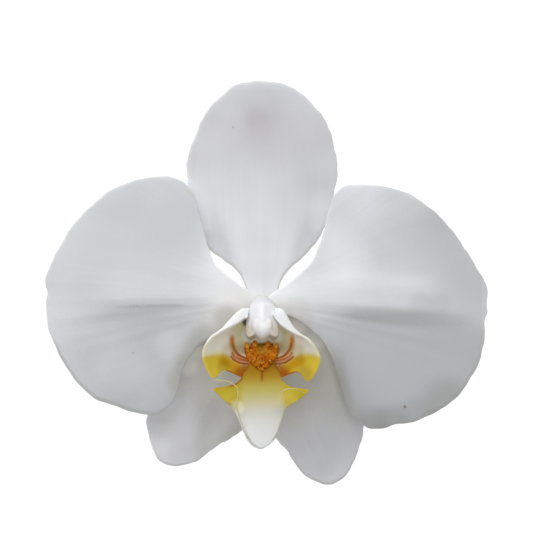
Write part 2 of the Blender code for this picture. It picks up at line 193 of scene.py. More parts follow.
def closedSheet(grid, half):
    # Two skins half a thickness to each side of the grid along its normals, which share the grid's border
    normal = np.cross(np.gradient(grid, axis=0), np.gradient(grid, axis=1))
    normal /= np.maximum(np.linalg.norm(normal, axis=2, keepdims=True), 1e-9)
    rows, columns = grid.shape[:2]
    number = np.arange(rows * columns).reshape(rows, columns)
    inside = np.zeros((rows, columns), bool)
    inside[1:-1, 1:-1] = True
    back = number.copy()
    back[inside] = rows * columns + np.arange(inside.sum())
    lift = normal * half[..., None]
    points = np.vstack(((grid + lift).reshape(-1, 3), (grid - lift)[inside]))
    quads = np.vstack((ringBands(number, False), ringBands(back, False)[:, ::-1]))
    return points, quads, np.zeros((0, 3), int), inside


def tubeRings(line, across, deep, sides):
    # Rings round a path: point + X across cos(turn) + back deep sin(turn), back at right angles to both
    line = np.array(line, float)
    ahead = unit(np.gradient(line, axis=0))
    wide = unit(np.array((1.0, 0, 0)) - ahead * ahead[:, :1])
    back = np.cross(ahead, wide)
    turn = turns(sides)
    rings = (line[:, None] + wide[:, None] * (across * np.cos(turn))[..., None]
             + back[:, None] * (deep * np.sin(turn))[..., None])
    return rings, turn


def closedTube(rings):
    # Points and faces of a tube through the rings, each end closed at its middle
    count, sides = rings.shape[:2]
    points = np.vstack((rings.reshape(-1, 3), rings[0].mean(0), rings[-1].mean(0)))
    number = np.arange(count * sides).reshape(count, sides)
    first, last = np.full(sides, count * sides), np.full(sides, count * sides + 1)
    tris = np.vstack((np.column_stack((first, number[0], np.roll(number[0], -1))),
                      np.column_stack((last, np.roll(number[-1], -1), number[-1]))))
    return points, ringBands(number), tris


def tone(red, green, blue, share=1.0):
    # The linear colour of an sRGB one given from 0 to 255, times a share for what faces the light
    value = np.array((red, green, blue)) / 255
    linear = np.where(value > 0.04045, ((value + 0.055) / 1.055) ** 2.4, value / 12.92) * share
    return (*linear.tolist(), 1.0)


def setInputs(tree, node, inputs):
    # Each input is linked where a socket is given, or else set
    for key, value in inputs.items():
        if isinstance(value, bpy.types.NodeSocket):
            tree.links.new(value, node.inputs[key])
        else:
            node.inputs[key].default_value = value


def addNode(tree, kind, inputs, **settings):
    # A node with its settings and inputs
    made = tree.nodes.new(kind)
    for key, value in settings.items():
        setattr(made, key, value)
    setInputs(tree, made, inputs)
    return made


def newMaterial(name):
    # A material with its node tree, its shader and the Object coordinates
    material = bpy.data.materials.new(name)
    material.use_nodes = True
    tree = material.node_tree
    where = tree.nodes.new("ShaderNodeTexCoord").outputs["Object"]
    return material, tree, tree.nodes["Principled BSDF"], where


def maths(tree, operation, first, second):
    # One operation on two numbers
    return addNode(tree, "ShaderNodeMath", {0: first, 1: second}, operation=operation).outputs[0]


def vectorMaths(tree, operation, first, second, output="Vector"):
    # One operation on two vectors
    return addNode(tree, "ShaderNodeVectorMath", {0: first, 1: second}, operation=operation).outputs[output]


def fieldOf(tree, label, output="Fac"):
    # What the mesh stores in a field
    return addNode(tree, "ShaderNodeAttribute", {}, attribute_name=label).outputs[output]


def noise(tree, vector, scale, detail=2.0, distortion=0.0):
    # Fractal noise from 0 to 1
    inputs = {"Vector": vector, "Scale": scale, "Detail": detail, "Distortion": distortion}
    return addNode(tree, "ShaderNodeTexNoise", inputs).outputs["Fac"]


def mapRange(tree, value, low, high, least=0.0, most=1.0):
    # From least at low to most at high by 3t^2 - 2t^3
    inputs = {"Value": value, "From Min": low, "From Max": high, "To Min": least, "To Max": most}
    return addNode(tree, "ShaderNodeMapRange", inputs, interpolation_type="SMOOTHSTEP").outputs[0]


def mixTones(tree, share, first, second, blend="MIX"):
    # The Mix node's inputs 0, 6 and 7 are its share and two colours, each a socket or the numbers of a tone
    first, second = (given if isinstance(given, bpy.types.NodeSocket) else tone(*given)
                     for given in (first, second))
    inputs = {0: share, 6: first, 7: second}
    return addNode(tree, "ShaderNodeMix", inputs, data_type="RGBA", blend_type=blend).outputs[2]


plainTissue = {
    "edgeScale": 900.0,              # of the noise that breaks the edges of washes
    "cellScale": 1800.0,
    "cellDepth": 0.03,
    "roughness": 0.5,
    "specular": 0.3,
    "subsurface": 0.1,
    "reach": 1.0,                    # of the light under the skin, in millimetres
    "sheen": 0.0,
}


def tissue(name, look):
    # Living surface: two tones mottled by noise, a ramp along a field, streaks along the flow field, washes
    # (field, tone, edge) with edges broken by noise, flecks of noise (field, tone, low, high, scale) and
    # marks (place, radius, tone, strength) that fade from 0.4 to 1.2 radius; a bump of streaks and cells.
    # The looks use washes and marks for painted shade and painted light as well as for colour.
    look = {**plainTissue, **look}
    material, tree, shader, where = newMaterial(name)
    mottle = noise(tree, where, look["mottleScale"], 3.0)
    colour = mixTones(tree, mapRange(tree, mottle, 0.3, 0.7), look["tone"], look["mottle"])
    if "ramp" in look:
        label, stops = look["ramp"]
        ramp = addNode(tree, "ShaderNodeValToRGB", {"Fac": fieldOf(tree, label)})
        ramp.color_ramp.interpolation = "B_SPLINE"
        elements = ramp.color_ramp.elements
        while len(elements) < len(stops):
            elements.new(1.0)
        for element, (position, stopTone) in zip(elements, stops):
            element.position = position
            element.color = tone(*stopTone)
        colour = mixTones(tree, 0.25, ramp.outputs["Color"], colour, "MULTIPLY")
    relief = maths(tree, "MULTIPLY", noise(tree, where, look["cellScale"]), look["cellDepth"])
    if "streaks" in look:
        streaks = look["streaks"]
        stretched = vectorMaths(tree, "MULTIPLY", fieldOf(tree, "flow", "Vector"), streaks["spread"])
        fine = maths(tree, "MULTIPLY", noise(tree, stretched, 1.0, 3.0, 0.3), 0.5)
        broad = maths(tree, "MULTIPLY", noise(tree, stretched, 0.28, 2.0, 0.2), 0.5)
        both = maths(tree, "ADD", fine, broad)
        share = mapRange(tree, both, 0.42, 0.62, 0.0, streaks["strength"])
        colour = mixTones(tree, share, colour, streaks["tone"])
        relief = maths(tree, "ADD", relief, maths(tree, "MULTIPLY", both, streaks["depth"]))
    ragged = maths(tree, "SUBTRACT", noise(tree, where, look["edgeScale"], 3.0), 0.5)
    for label, washTone, edge in look.get("washes", ()):
        shifted = maths(tree, "ADD", fieldOf(tree, label), maths(tree, "MULTIPLY", ragged, edge))
        colour = mixTones(tree, mapRange(tree, shifted, edge / 2, 1 - edge / 2), colour, washTone)
    for label, fleckTone, low, high, scale in look.get("flecks", ()):
        fleck = mapRange(tree, noise(tree, where, scale, 2.0, 0.6), low, high)
        colour = mixTones(tree, maths(tree, "MULTIPLY", fleck, fieldOf(tree, label)), colour, fleckTone)
    inFace = vectorMaths(tree, "MULTIPLY", where, (1, 1, 0))
    for at, radius, markTone, strength in look.get("marks", ()):
        centre = place([(*at, 0)])[0]
        away = vectorMaths(tree, "DISTANCE", inFace, (centre[0], centre[1], 0), "Value")
        share = mapRange(tree, away, radius * 0.0004, radius * 0.0012, strength, 0.0)
        colour = mixTones(tree, share, colour, markTone)
    bump = addNode(tree, "ShaderNodeBump", {"Height": relief, "Strength": 1.0, "Distance": 0.001})
    gloss = mapRange(tree, mottle, 0.25, 0.75, look["roughness"] - 0.06, look["roughness"] + 0.06)
    setInputs(tree, shader, {
        "Base Color": colour, "Normal": bump.outputs[0], "Roughness": gloss,
        "Specular IOR Level": look["specular"], "Sheen Weight": look["sheen"], "Sheen Roughness": 0.5,
        "Subsurface Weight": look["subsurface"], "Subsurface Scale": look["reach"] * 0.001,
        "Subsurface Radius": (1.0, 0.9, 0.8),
    })
    return material


# Sepals

sepals = {
    "spokes": 300, "rings": 56,
    "thick": (0.95, 0.45),           # in the middle and at the margin
    "root": -1.4,
    "dorsal": {
        "centre": (0, 30),
        "tip": (0, 54),
        "halfWidth": 18.5,
        "clawShading": (0.25, 0.2),         # where its painted shade near the root ends, as a share of the length, and over what span
        "waves": (0.3, 3, 0.6),      # height at the margin, number and turn
        "hem": (0.5, 90, 60, 0.55, 0.66),    # how far the margin turns back, angle, width, painted shade and start
        "outline": (
            (3.4, 0), (4.6, 3.5), (6.4, 6.3), (10, 9.9), (12.9, 12.8), (15.2, 16.3), (17.3, 22.3),
            (18.8, 31), (18, 38), (15, 45.5), (9.5, 51), (4.5, 53.5), (1, 54), (-3, 53.8), (-7.3, 52.6),
            (-13, 47.5), (-17, 39.8), (-18.6, 34), (-18.7, 29), (-17.5, 21.3), (-15.7, 16.2),
            (-13, 11.9), (-10.1, 9.5), (-7.2, 7.4), (-5.4, 5.3), (-4.3, 3.1), (-3.3, 0), (-1.6, -1.6),
            (1.6, -1.6),
        ),
    },
    "left": {
        "centre": (-14, -25),
        "tip": (-21, -42.3),
        "halfWidth": 14.5,
        "clawShading": (0.85, 0.5),
        "waves": (0.3, 4, 0.3),
        "hem": (0.0, -35, 50, 0.6, 0.6),
        "outline": (
            (-3.4, -1.4), (-9.6, -5), (-16, -9.6), (-22.5, -17.5), (-27, -25), (-28.8, -31), (-28, -36),
            (-26, -40.3), (-22.5, -42.3), (-17.3, -41.4), (-14, -39.3), (-10, -36.5), (-5, -33.4),
            (-1.8, -29), (-0.8, -22), (-0.7, -12), (-0.5, -3.2), (-1.6, -2.4),
        ),
    },
    "right": {
        "centre": (12.5, -27),
        "tip": (17, -46.9),
        "halfWidth": 14.5,
        "clawShading": (0.85, 0.5),
        "waves": (0.3, 4, 1.2),
        "hem": (0.0, -140, 50, 0.0, 0.6),
        "outline": (
            (3.4, -1.4), (1.6, -2.4), (0.5, -3.2), (0.6, -12), (0.7, -22), (1, -30.8), (3.5, -35.3),
            (5.8, -37.8), (7.8, -41), (10, -43.8), (13.8, -46.3), (17.5, -46.9), (20.8, -44.6),
            (23.5, -40), (25.2, -34), (25.6, -27), (23, -19.5), (18.6, -11.6), (11, -4.8),
        ),
    },
}


def bladePiece(name, part, sheet, depth, flow, material, slotName, node):
    # Polar blade, half its thickness to each side of depth(x, y) + ripple share^4 - hem share^6, where the
    # ripple is height sin(number angle + turn) + 0.14 sin(9 angle + 2 turn), and the hem a part of the
    # margin that turns back. Three sines of the angle fray the rim. To the fields of flow it adds painted
    # shade on the hem and along the lower rim.
    rim = evenLoop(part["outline"], sheet["spokes"])
    spokes = rim - np.array(part["centre"])
    angle = np.arctan2(spokes[:, 1], spokes[:, 0])
    fray = 0.10 * np.sin(11 * angle + 1) + 0.07 * np.sin(23 * angle + 2.2) + 0.04 * np.sin(47 * angle)
    rim = rim + fray[:, None] * unit(spokes)
    share, flat = polarGrid(rim, part["centre"], sheet["rings"])
    height, number, turn = part["waves"]
    ripple = height * np.sin(number * angle + turn) + 0.14 * np.sin(9 * angle + 2 * turn)
    hemDepth, hemAt, hemWidth, hemShade, shadeFrom = part["hem"]
    hem = bell(np.angle(np.exp(1j * (angle - np.radians(hemAt)))) / np.radians(hemWidth))
    half = halfThickness(sheet["thick"], share, 60)
    bent = depth(flat[..., 0], flat[..., 1]) + ripple * share**4 - hemDepth * hem * share**6
    over = bent - (flower["floor"] + half + 0.02)
    bent = bent - over + (over + np.sqrt(over**2 + 0.36)) / 2     # settles softly onto the surface
    points, quads, tris, _ = polarSkins(flat, bent + half, bent - half)
    # Painted shade on the turned-back hem, and along the lower rim where the hem's is weak
    shade = hemShade * hem * grow(share, shadeFrom, 0.85 * (1 - shadeFrom))
    low = grow(share, 0.95, 0.04) * fade(flat[..., 1], part["centre"][1] - 8, 8)
    low = low * (1 - np.clip(1.6 * shade, 0, 1))
    fields = flow(points[:, 0], points[:, 1])
    for label, values in (("hem", shade), ("rim", low)):
        fields[label] = np.concatenate((values[1:].ravel(), values[1:-1].ravel(), (0, 0)))
    addPiece(name, points, quads, tris, material, slotName, node, fields)


def dorsalDepth(x, y):
    # root + 2.6 a^2 - 2.3 sin(pi a^0.8) - 0.9 (6 (a - 5/6))^2 past 5/6 + 0.4 (x/19)^2, a the share of the
    # length, and a low midrib
    along = np.clip(y / sepals["dorsal"]["tip"][1], 0, 1)
    arch = 2.6 * along**2 - 2.3 * np.sin(np.pi * along**0.8)
    curl = 0.9 * (np.clip(along - 5 / 6, 0, 1) * 6) ** 2
    midrib = 0.12 * bell(x / 1.5) * fade(along, 0.75, 0.4)
    return sepals["root"] + arch - curl + 0.4 * (x / 19) ** 2 + midrib


def lateralDepth(tip):
    # root - 12.2 a^1.6 + 0.002 across^2, a the share of the way to the tip, and a low midrib
    length = np.hypot(*tip)

    def depth(x, y):
        along = np.clip((x * tip[0] + y * tip[1]) / length**2, 0, 1)
        across = (x * tip[1] - y * tip[0]) / length
        return sepals["root"] - 12.2 * along**1.6 + 0.002 * across**2 + 0.15 * bell(across / 1.3)
    return depth


def sepalFlow(sepal):
    # Streaks run from root to tip: flow = (across / local half width, share of the length). The other
    # fields are
    # painted shade: claw fades out from the root and upper grows to the tip; flank lies beside the midrib
    # in the lower part, weaker at the margins, which the petals' cast shadow darkens already; dull is the
    # shaded half of a lateral sepal, the left one's towards the middle of the flower, the right one's away.
    tip, (clawEnd, clawSpan) = sepal["tip"], sepal["clawShading"]
    length = np.hypot(*tip)

    def flow(x, y):
        along = (x * tip[0] + y * tip[1]) / length**2
        across = (x * tip[1] - y * tip[0]) / length
        taper = 0.25 + 0.75 * np.sin(np.pi * np.clip(0.1 + 0.75 * along, 0, 1))
        fan = across / (sepal["halfWidth"] * taper)
        wide = np.abs(fan)
        flankShade = 0.8 + 1.7 * fade(along, 0.45, 0.25)
        flankShade = np.clip(flankShade * smooth(wide - 0.2) * fade(along, 0.62, 0.15), 0, 1)
        flankShade = flankShade * (1 - 0.5 * grow(wide, 0.62, 0.2) * grow(along, 0.27, 0.06))
        off = across * np.sign(tip[0])
        if tip[0] < 0:
            dullShade = 0.48 * smooth((off + 7.2 - 20 * (along - 0.58)) / 5.5) + 0.2 * grow(off, 5, 4)
            dullShade = dullShade * grow(along, 0.48, 0.1)
        else:
            dullShade = 0.6 * smooth(-off / 8) * fade(along, 0.95, 0.35)
        return {"flow": np.column_stack((fan, along, 0 * x)), "clawShading": fade(along, clawEnd, clawSpan),
                "upper": grow(along, 0.34, 0.62), "flankShade": flankShade, "dullShade": dullShade}
    return flow


tepalSkin = {"subsurface": 0.12, "sheen": 0.05}
dorsalLook = {
    "tone": (238, 239, 243), "mottle": (232, 233, 237), "mottleScale": 55.0,
    "streaks": {"spread": (20.0, 2.0, 1.0), "strength": 0.12, "tone": (212, 212, 219), "depth": 0.03},
    # Washes, all painted shade: near the root, on the upper part, on the flanks, on the turned-back hem and
    # along the lower rim
    "washes": (
        ("clawShading", (226, 227, 230), 0.2), ("upper", (220, 220, 225), 0.1), ("flankShade", (206, 207, 210), 0.1),
        ("hem", (206, 209, 213), 0.1), ("rim", (196, 196, 194), 0.1),
    ),
    **tepalSkin,
    # Marks: a tiny dark spot on the sepal; the broad grey marks are painted shade and the white one painted
    # light
    "marks": (
        ((-7.25, 42.5), 0.4, (168, 162, 160), 0.6), ((-1.3, 44.5), 3.2, (206, 196, 208), 0.35),
        ((-0.8, 42.5), 5.0, (208, 202, 208), 0.35), ((0, 48.5), 6.5, (200, 200, 205), 0.4),
        ((3, 38), 8.0, (208, 207, 208), 0.25), ((15, 33), 9.0, (206, 207, 209), 0.35),
        ((13, 23), 12.0, (188, 190, 194), 0.2), ((0, 9), 9.0, (190, 190, 193), 0.2),
        ((-13.5, 43.5), 9.0, (255, 255, 255), 0.16),
    ),
}
lateralLook = {
    "tone": (229, 230, 234), "mottle": (223, 224, 228), "mottleScale": 70.0,
    "streaks": {"spread": (18.0, 2.2, 1.0), "strength": 0.14, "tone": (210, 211, 212), "depth": 0.04},
    # Washes, all painted shade: near the root in the shadow of the lip and petals, on the shaded half, on
    # the hem and along the lower rim
    "washes": (("clawShading", (202, 201, 193), 0.2), ("dullShade", (200, 200, 195), 0.1),
               ("hem", (194, 194, 190), 0.1), ("rim", (213, 214, 215), 0.1)),
    # Marks: the light ones are painted light over the petals' contact shadow, the grey ones painted shade
    "marks": (
        ((-18.6, -17), 3.2, (238, 238, 232), 0.8), ((-16.6, -13.4), 2.6, (238, 238, 232), 0.8),
        ((13.8, -10.6), 3.0, (238, 238, 232), 0.6), ((9.25, -7), 2.8, (250, 248, 242), 0.55),
        ((-21, -39.5), 3.4, (170, 170, 172), 0.16), ((15.75, -43.25), 3.2, (170, 178, 182), 0.12),
        ((-25, -32.5), 9.0, (255, 255, 255), 0.3), ((-14, -29.5), 5.0, (150, 150, 145), 0.14),
        ((13, -18.75), 4.0, (150, 150, 140), 0.18),
    ),
    **tepalSkin,
}

bladePiece("dorsalSepal", sepals["dorsal"], sepals, dorsalDepth, sepalFlow(sepals["dorsal"]),
           tissue("dorsalTissue", dorsalLook), "sepal", "dorsal_sepal")
lateralTissue = tissue("lateralTissue", lateralLook)
for side in ("left", "right"):
    lateral = sepals[side]
    bladePiece("lateralSepal" + side.title(), lateral, sepals, lateralDepth(lateral["tip"]),
               sepalFlow(lateral), lateralTissue, "sepal", "lateral_sepal_" + side)
print("sepals made")


# Petals

petals = {
    "spokes": 340, "rings": 64,
    "thick": (0.85, 0.4),
    "root": 0.1,
    "length": 55,
    "left": {
        "centre": (-30, 1),
        "waves": (0.6, 5, 0.4),
        "hem": (0.5, -60, 17, 0.55, 0.64),
        "rib": (0.0, 0.03, 36),      # start of the midrib, its fall per millimetre out, and where it fades
        "fold": (0.42, -3.5, 4.0),   # painted shade of the fold under the midrib: strength, place and width
        "paintedCrease": (0.9, -1.5),       # a painted dark line close under the midrib for the crease's shade: strength and place
        "paintedRay": (0.55, -0.24),        # painted shade of a fold between the midrib and the lower margin: strength and fan angle
        "middle": (0.8, 18, 12),     # painted shade on the part above the midrib: strength, place and width
        "low": (0.45, 4, 9),         # painted shade on the lower part: strength, start and span
        "clawShading": 1.0,                 # painted light near the hub
        "lightBand": (0, 7, 4),           # painted light on a stretch above the midrib: strength, place and width
        "outerLight": 0.3,                 # how much painted light the outer end has
        "tip": 0.0,                  # and how much painted shade it has
        "outline": (
            (-1.7, 0.2), (-5.5, 3), (-10, 6.6), (-12.5, 9.8), (-14, 14.3), (-15.7, 21.3), (-17.6, 26.3),
            (-20.6, 29.2), (-26.3, 30.3), (-33, 28.7), (-39.3, 25.7), (-45.5, 20), (-50.5, 13),
            (-53.3, 6.8), (-54.2, 3.3), (-53.7, 1.2), (-54, -1), (-53.5, -7), (-51, -14),
            (-47.5, -19.5), (-42.5, -25), (-37.5, -27), (-32, -28.7), (-27, -29.5), (-23, -27),
            (-20.9, -23), (-19.8, -17.8), (-16, -12.5), (-10.3, -8.1), (-6.6, -5.2), (-1.8, -2.6),
        ),
    },
    "right": {
        "centre": (31, -2),
        "waves": (0.6, 5, 2.1),
        "hem": (0.6, -118, 22, 0.6, 0.72),
        "rib": (-1.2, 0.055, 46),
        "fold": (0.95, -2.4, 2.8),
        "paintedCrease": (0.3, -1.0),
        "paintedRay": (0.0, -0.3),
        "middle": (0.6, 17, 7),
        "low": (1.0, 1, 6),
        "clawShading": 0.55,
        "lightBand": (0.42, 7.2, 3.8),
        "outerLight": 0.0,
        "tip": 0.5,
        "outline": (
            (1.8, -2.6), (8, -5.2), (12, -7.9), (15, -10.8), (18.3, -17), (20, -23.8), (22, -29),
            (25.8, -32.3), (28.3, -32.8), (30.8, -32.7), (33.8, -31.8), (38.3, -31.2), (44, -28.3),
            (49, -24.8), (53.3, -18.3), (55.5, -11.3), (55.8, -5.8), (56.3, -3.8), (56, -1.5),
            (56.4, 1.5), (55, 5.3), (50.8, 11.8), (46.3, 18.3), (40.5, 23.3), (34.5, 26.8), (26.5, 28),
            (20.3, 27.5), (17.5, 24.5), (15.8, 18), (14.1, 12.2), (11.2, 7.5), (6.2, 3.2), (1.7, 0.2),
        ),
    },
}


def petalDepth(ribStart, ribSlope, ribEnd):
    # root + 1.6 sin(pi a) - 2.6 a^3 - the fold, a cubic of the distance above the rib and another of that
    # below, softer near the hub and the tip; low pleats run along the rib's lower side
    def depth(x, y):
        out = np.abs(x)
        along = np.clip(out / petals["length"], 0, 1)
        off = y - ribStart + ribSlope * out
        soft = 1.0 + 5 * grow(out, ribEnd, 14) + 4 * fade(out, 16, 10)
        reach = np.sqrt(off**2 + soft**2) - soft
        above, below = (reach + off) / 2, (reach - off) / 2
        fold = 0.1 * above - 0.004 * above**2 + 0.00009 * above**3
        fold = fold + 0.21 * below - 0.00525 * below**2 + 0.00014 * below**3
        arch = 1.6 * np.sin(np.pi * along) - 2.6 * along**3
        fan = np.arctan2(off, out + 5)
        pleats = 0.045 * np.sin(72 * fan) * bell((fan + 0.13) / 0.11)
        pleats = pleats * grow(out, 8, 10) * fade(out, 54, 14)
        return petals["root"] + arch + pleats - fold * np.clip((out - 1) / 15, 0, 1)
    return depth


def petalFlow(petal):
    # Streaks fan out from the claw: flow = (angle about a point behind the claw, distance from it). Crease,
    # fold, middle and band are bells of the height above the rib, and the ray is one of the angle. Crease,
    # fold, middle, ray, low and tip are painted shade; claw, with the band and the outer end's glow, is
    # painted light.
    ribStart, ribSlope, ribEnd = petal["rib"]
    (foldShade, foldAt, foldWidth), (creaseShade, creaseAt) = petal["fold"], petal["paintedCrease"]
    (rayShade, rayFan), (midShade, midAt, midWidth) = petal["paintedRay"], petal["middle"]
    (lowShade, lowStart, lowSpan), (bandLight, bandAt, bandWidth) = petal["low"], petal["lightBand"]

    def flow(x, y):
        out, off = np.abs(x) + 5, y - ribStart + ribSlope * np.abs(x)
        fan, reach = np.arctan2(off, out), np.hypot(out, off) / 60
        paintedCrease = creaseShade * bell((off - creaseAt) / 0.55) * grow(out, 20, 9)
        fold = foldShade * bell((off - foldAt) / foldWidth) * grow(out, 17, 15)
        paintedRay = rayShade * bell((fan - rayFan) / 0.06) * grow(out, 18, 8) * fade(out, 46, 12)
        middle = midShade * bell((off - midAt) / midWidth) * grow(out, 12, 12)
        lightBand = bandLight * bell((off - bandAt) / bandWidth) * grow(out, 18, 8)
        # Painted light near the hub and at the outer end, and on the band above the midrib
        clawShading = petal["clawShading"] * fade(reach, 0.5, 0.38) + petal["outerLight"] * grow(out, 46, 10)
        clawShading = clawShading + lightBand * fade(out, 56, 10)
        tip = petal["tip"] * grow(out, 38, 16) * (1 + 0.6 * grow(off, -4, 6))
        return {"flow": np.column_stack((fan, reach, 0 * x)), "clawShading": clawShading, "tip": tip, "paintedRay": paintedRay,
                "paintedCrease": paintedCrease * fade(out, ribEnd + 10, 10), "middle": middle,
                "fold": fold * fade(out, ribEnd + 17, 12),
                "low": lowShade * fade(off, -lowStart, lowSpan)}
    return flow


petalLook = {
    "tone": (224, 226, 230), "mottle": (216, 218, 221), "mottleScale": 60.0,
    "streaks": {"spread": (26.0, 1.8, 1.0), "strength": 0.3, "tone": (204, 207, 211), "depth": 0.055},
    # Washes: painted light near the hub, then painted shade above the midrib, in the fold, on the lower
    # part, at the tip, in the ray, the crease, the hem and along the lower rim
    "washes": (
        ("clawShading", (250, 250, 252), 0.1), ("middle", (211, 214, 217), 0.1), ("fold", (188, 190, 191), 0.1),
        ("low", (201, 203, 207), 0.1), ("tip", (207, 209, 211), 0.1), ("paintedRay", (200, 202, 203), 0.1),
        ("paintedCrease", (188, 191, 192), 0.2), ("hem", (174, 175, 170), 0.1), ("rim", (199, 201, 202), 0.1),
    ),
    "roughness": 0.48,
    **tepalSkin,
    # Marks: three tiny spots of colour on the petals; the broad grey marks are painted shade, the broad
    # white ones painted light
    "marks": (
        ((35.75, -27.5), 0.45, (120, 92, 66), 0.8), ((-18.2, 26.3), 0.5, (214, 204, 160), 0.5),
        ((-32.25, -14), 0.35, (160, 160, 158), 0.5), ((-14.2, -11), 4.8, (178, 179, 174), 0.5),
        ((27.8, -32.2), 5.5, (160, 161, 159), 0.45), ((32.2, -31.8), 5.5, (164, 165, 163), 0.5),
        ((39.5, -1.7), 3.5, (192, 193, 194), 0.35), ((44.5, -1.9), 3.5, (192, 193, 194), 0.35),
        ((-8.6, -5.4), 4.2, (150, 149, 138), 0.32), ((17, 9.5), 10.5, (255, 255, 255), 0.36),
        ((38.5, 23.5), 11.0, (170, 172, 164), 0.24), ((54.5, 6.5), 10.0, (170, 172, 172), 0.24),
        ((46.5, -27), 8.0, (150, 150, 144), 0.38), ((38.5, -30.5), 6.0, (150, 150, 146), 0.26),
        ((-37, 27), 10.0, (176, 180, 184), 0.24), ((-30, -7.5), 7.0, (180, 182, 184), 0.12),
        ((-35.5, -24.5), 6.0, (180, 182, 184), 0.14), ((8.6, -4.25), 5.0, (150, 149, 138), 0.22),
        ((-23, -12), 4.5, (242, 244, 248), 0.28), ((-35.5, -18.25), 8.0, (240, 242, 246), 0.2),
        ((-21.5, -20.75), 3.4, (168, 166, 148), 0.22),
    ),
}

petalTissue = tissue("petalTissue", petalLook)
for side in ("left", "right"):
    petal = petals[side]
    bladePiece("petal" + side.title(), petal, petals, petalDepth(*petal["rib"]),
               petalFlow(petal), petalTissue, "petal", "petal_" + side)
print("petals made")


# Lip

lip = {
    "thick": (0.8, 0.5),
    "centre": (0, -24.5),
    "spokes": 380, "rings": 90,
    "outline": (
        (-1.5, -3.2), (-2, -6), (-2.6, -9), (-2.9, -12.5), (-3, -15), (-3.6, -17), (-4.8, -18.8),
        (-5.3, -20.3), (-6.6, -21.6), (-9.3, -22.4), (-12.2, -22.9), (-11, -24.3), (-9.5, -25.8),
        (-7.6, -27.7), (-6, -30.3), (-5, -33), (-3.8, -35.6), (-2.5, -37.1), (-0.6, -38), (1, -37.5),
        (2.6, -36.2), (3.9, -34.3), (4.8, -31), (5.8, -28.2), (7.8, -26.6), (10.2, -24.9),
        (11.8, -23.3), (9.5, -22.8), (6.8, -22.3), (5, -20.6), (4.6, -18.8), (3.6, -17), (3, -15),
        (2.9, -12.5), (2.6, -9), (2, -6), (1.5, -3.2), (0, -2.8),
    ),
    # Upper edge of a shoulder, and margin at the tip
    "rind": ((3.6, -17.2), (4.9, -19), (5.3, -20.4), (7, -21.9), (9.6, -22.6), (12, -23)),
    "tipRim": ((-0.6, -38.1), (1, -37.8), (2.6, -36.6), (3.9, -34.6)),
    # y and z down the middle of the blade
    "profile": ((-2.6, 2.0), (-5.5, 2.7), (-9, 4.6), (-12.5, 6.9), (-16, 8.7), (-19, 9.9), (-21.5, 11.6),
                (-25, 14.5), (-29, 17.7), (-33, 20.6), (-36, 22.6), (-38.4, 24)),
}


def lipDepth(x, y):
    # Height of the middle line at y, the shoulders turned up and the tongue's margins turned down
    line = through(lip["profile"], np.linspace(0, len(lip["profile"]) - 1, 200))
    middle = np.interp(-y, -line[:, 0], line[:, 1])
    tongue = fade(y, -26, 4)
    shoulder = grow(np.abs(x), 4.5, 5) * (1 - tongue)
    return middle - 0.036 * x**2 * tongue + 2.2 * shoulder


def lipFields(x, y, front):
    # Weights of the blade's colours: run goes from 0 to 1 down the tongue, orange is a bell of the distance
    # to the upper edge of the shoulders with a streak down the middle, and the others fade by place. The
    # throat is pale colour that also carries painted light, and the tip's shade is painted shade.
    side = np.abs(x)
    shoulder = grow(side, 3.5, 3.4) * grow(y, -30, 4.5) * fade(y, -19.5, 2.5)
    rind = bell(distanceTo(side, y, lip["rind"]) / 0.55) * (0.35 + 0.65 * fade(side, 9.5, 3.5))
    streak = bell(x / 0.45) * grow(y, -22.8, 3.2) * fade(y, -17, 1.5) * front
    rim = distanceTo(side, y, lip["tipRim"])
    return {"run": np.clip((-17 - y) / 20, 0, 1), "shoulder": shoulder, "throatTintAndLight": grow(y, -12.2, 1.6),
            "orange": np.clip(rind + 0.9 * streak, 0, 1), "tipShade": fade(rim, 0.7, 0.6) * 0.6}


lipSkin = {"cellDepth": 0.05, "cellScale": 1500.0, "specular": 0.06}
lipLook = {
    "tone": (232, 232, 230), "mottle": (218, 218, 214), "mottleScale": 160.0,
    "edgeScale": 700.0,
    # The photograph's tones down the middle, for a face that lies towards the light
    "ramp": ("run", (
        (0.0, (182, 126, 18, 0.85)), (0.14, (180, 137, 24, 0.85)), (0.25, (196, 182, 84, 0.84)),
        (0.36, (198, 187, 112, 0.84)), (0.48, (211, 204, 168, 0.84)), (0.59, (214, 213, 203, 0.84)),
        (0.7, (221, 222, 218, 0.84)), (1.0, (234, 236, 238, 0.84)),
    )),
    "washes": (
        # The throat wash is the pale part above the callus, lightened further as painted light in the
        # column's shade
        ("shoulder", (192, 172, 42, 0.8), 0.2), ("throatTintAndLight", (255, 249, 230), 0.3),
        ("orange", (158, 94, 18, 0.85), 0.25), ("tipShade", (180, 178, 170, 0.8), 0.2),
    ),
    "marks": (
        ((-6.8, -24.8), 2.8, (214, 200, 96), 0.3), ((6.2, -25.5), 2.8, (214, 200, 110), 0.26),
        ((-6.3, -27.4), 2.0, (236, 232, 200), 0.6),
    ),
    **lipSkin,
    "subsurface": 0.3,
    "reach": 1.5,
}

rim = evenLoop(lip["outline"], lip["spokes"])
share, flat = polarGrid(rim, lip["centre"], lip["rings"])
half = halfThickness(lip["thick"], share, 50)
bent = lipDepth(flat[..., 0], flat[..., 1])
points, quads, tris, front = polarSkins(flat, bent + half, bent - half)
addPiece("lipBlade", points, quads, tris, tissue("lipTissue", lipLook), "lip", "lip",
         lipFields(points[:, 0], points[:, 1], front))


# Side lobes: five rows from the root to the free margin, with points from the column down to the lower edge

